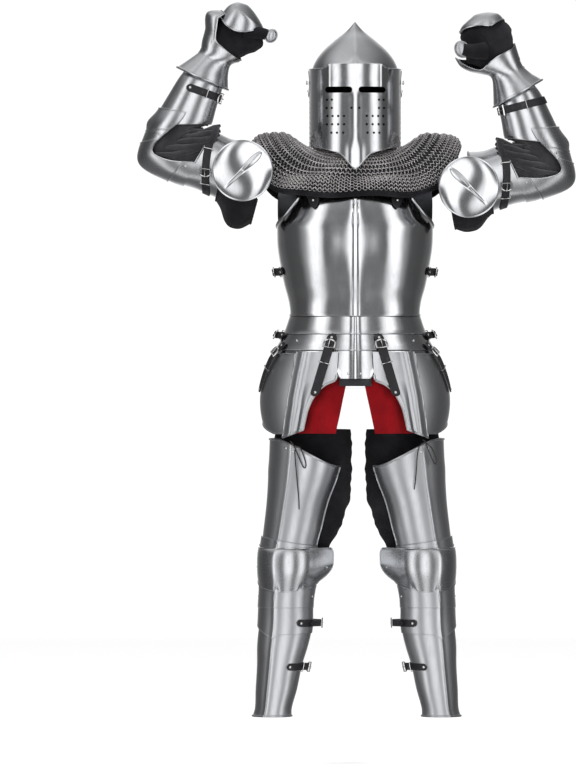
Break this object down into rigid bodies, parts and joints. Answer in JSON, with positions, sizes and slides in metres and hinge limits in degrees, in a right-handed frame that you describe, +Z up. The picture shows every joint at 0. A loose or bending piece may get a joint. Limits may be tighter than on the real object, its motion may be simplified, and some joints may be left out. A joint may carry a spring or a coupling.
{
  "type": "suit of plate armour",
  "caption": "Full suit of polished plate armour with mail collar and visored helmet, hollow, worn pose with raised bent arms and parted legs.",
  "frame": {"origin": "midway between the wearer's shoulders, at the height where the shoulder straps of the breastplate and backplate carry the harness", "axes": "+Z up, -Y the way the breastplate faces, +X towards the wearer's left arm"},
  "size_m": [1.1173, 0.336, 1.8267],
  "materials": {
    "polished_steel": "hand-polished plate with soft streaks and fine scratches",
    "steel_mail": "round-wire riveted rings, oiled and slightly dull",
    "black_cloth": "quilted black cotton arming cloth",
    "red_wool": "deep red woollen cloth",
    "strap_leather": "charcoal strap leather with steel buckles and rivets",
    "black_lace": "braided black cotton lace"
  },
  "bodies": {
    "suit": {"ankle_strap_left": "strap_leather", "ankle_strap_right": "strap_leather", "arm_strap_left": "strap_leather", "arm_strap_right": "strap_leather", "backplate": "polished_steel", "besagew_left": "polished_steel", "besagew_right": "polished_steel", "breastplate": "polished_steel", "calf_strap_left": "strap_leather", "calf_strap_right": "strap_leather", "chest_strap_left": "strap_leather", "chest_strap_right": "strap_leather", "collar_edging": "black_cloth", "couter_left": "polished_steel", "couter_right": "polished_steel", "cuisse_left": "polished_steel", "cuisse_right": "polished_steel", "elbow_cloth_left": "black_cloth", "elbow_cloth_right": "black_cloth", "fauld_back": "polished_steel", "fauld_front": "polished_steel", "finger_plate_left": "polished_steel", "finger_plate_right": "polished_steel", "gauntlet_left": "polished_steel", "gauntlet_right": "polished_steel", "glove_left": "black_cloth", "glove_right": "black_cloth", "greave_left": "polished_steel", "greave_right": "polished_steel", "helmet_skull": "polished_steel", "hip_strap_left": "strap_leather", "hip_strap_right": "strap_leather", "lace_left": "black_lace", "lace_right": "black_lace", "leg_padding_left": "black_cloth", "leg_padding_right": "black_cloth", "mail_collar": "steel_mail", "poleyn_left": "polished_steel", "poleyn_right": "polished_steel", "red_lining_left": "red_wool", "red_lining_right": "red_wool", "rerebrace_left": "polished_steel", "rerebrace_right": "polished_steel", "tasset_front_left": "polished_steel", "tasset_front_right": "polished_steel", "tasset_front_strap_left": "strap_leather", "tasset_front_strap_right": "strap_leather", "tasset_side_left": "polished_steel", "tasset_side_right": "polished_steel", "tasset_side_strap_left": "strap_leather", "tasset_side_strap_right": "strap_leather", "thumb_plate_left": "polished_steel", "thumb_plate_right": "polished_steel", "underarm_pad_left": "black_cloth", "underarm_pad_right": "black_cloth", "vambrace_left": "polished_steel", "vambrace_right": "polished_steel", "wrist_strap_left": "strap_leather", "wrist_strap_right": "strap_leather"},
    "visor": {"visor": "polished_steel"}
  },
  "joints": [
    {"name": "visor_hinge", "type": "hinge", "parent": "suit", "child": "visor", "pos_m": [0, -0.004, 0.254], "axis": [-1, 0, 0], "range_deg": [0, 75]}
  ]
}
